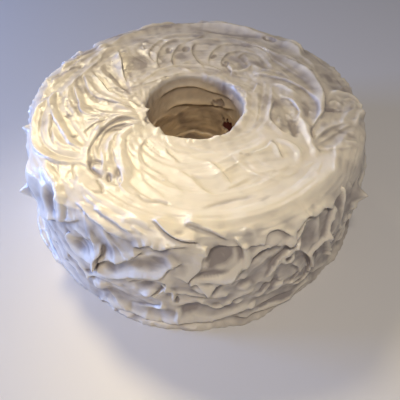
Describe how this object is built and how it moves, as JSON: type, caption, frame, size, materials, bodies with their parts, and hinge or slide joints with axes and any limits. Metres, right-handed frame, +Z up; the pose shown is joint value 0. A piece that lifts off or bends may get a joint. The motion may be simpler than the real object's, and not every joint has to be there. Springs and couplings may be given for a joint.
{
  "type": "frosted red velvet pound cake",
  "caption": "Tall ring-shaped pound cake with a round centre hole, covered in swirled cream-cheese frosting.",
  "frame": {"origin": "middle of the flat underside, at the centre of the cake's box", "axes": "+Z up along the centre hole; -Y is the front of the cake"},
  "size_m": [0.291, 0.2858, 0.1012],
  "materials": {
    "frosting": "soft satin cream-cheese frosting",
    "crumb": "matt dark red crumb"
  },
  "bodies": {
    "root": {"frosted_cake": "frosting"}
  },
  "joints": []
}
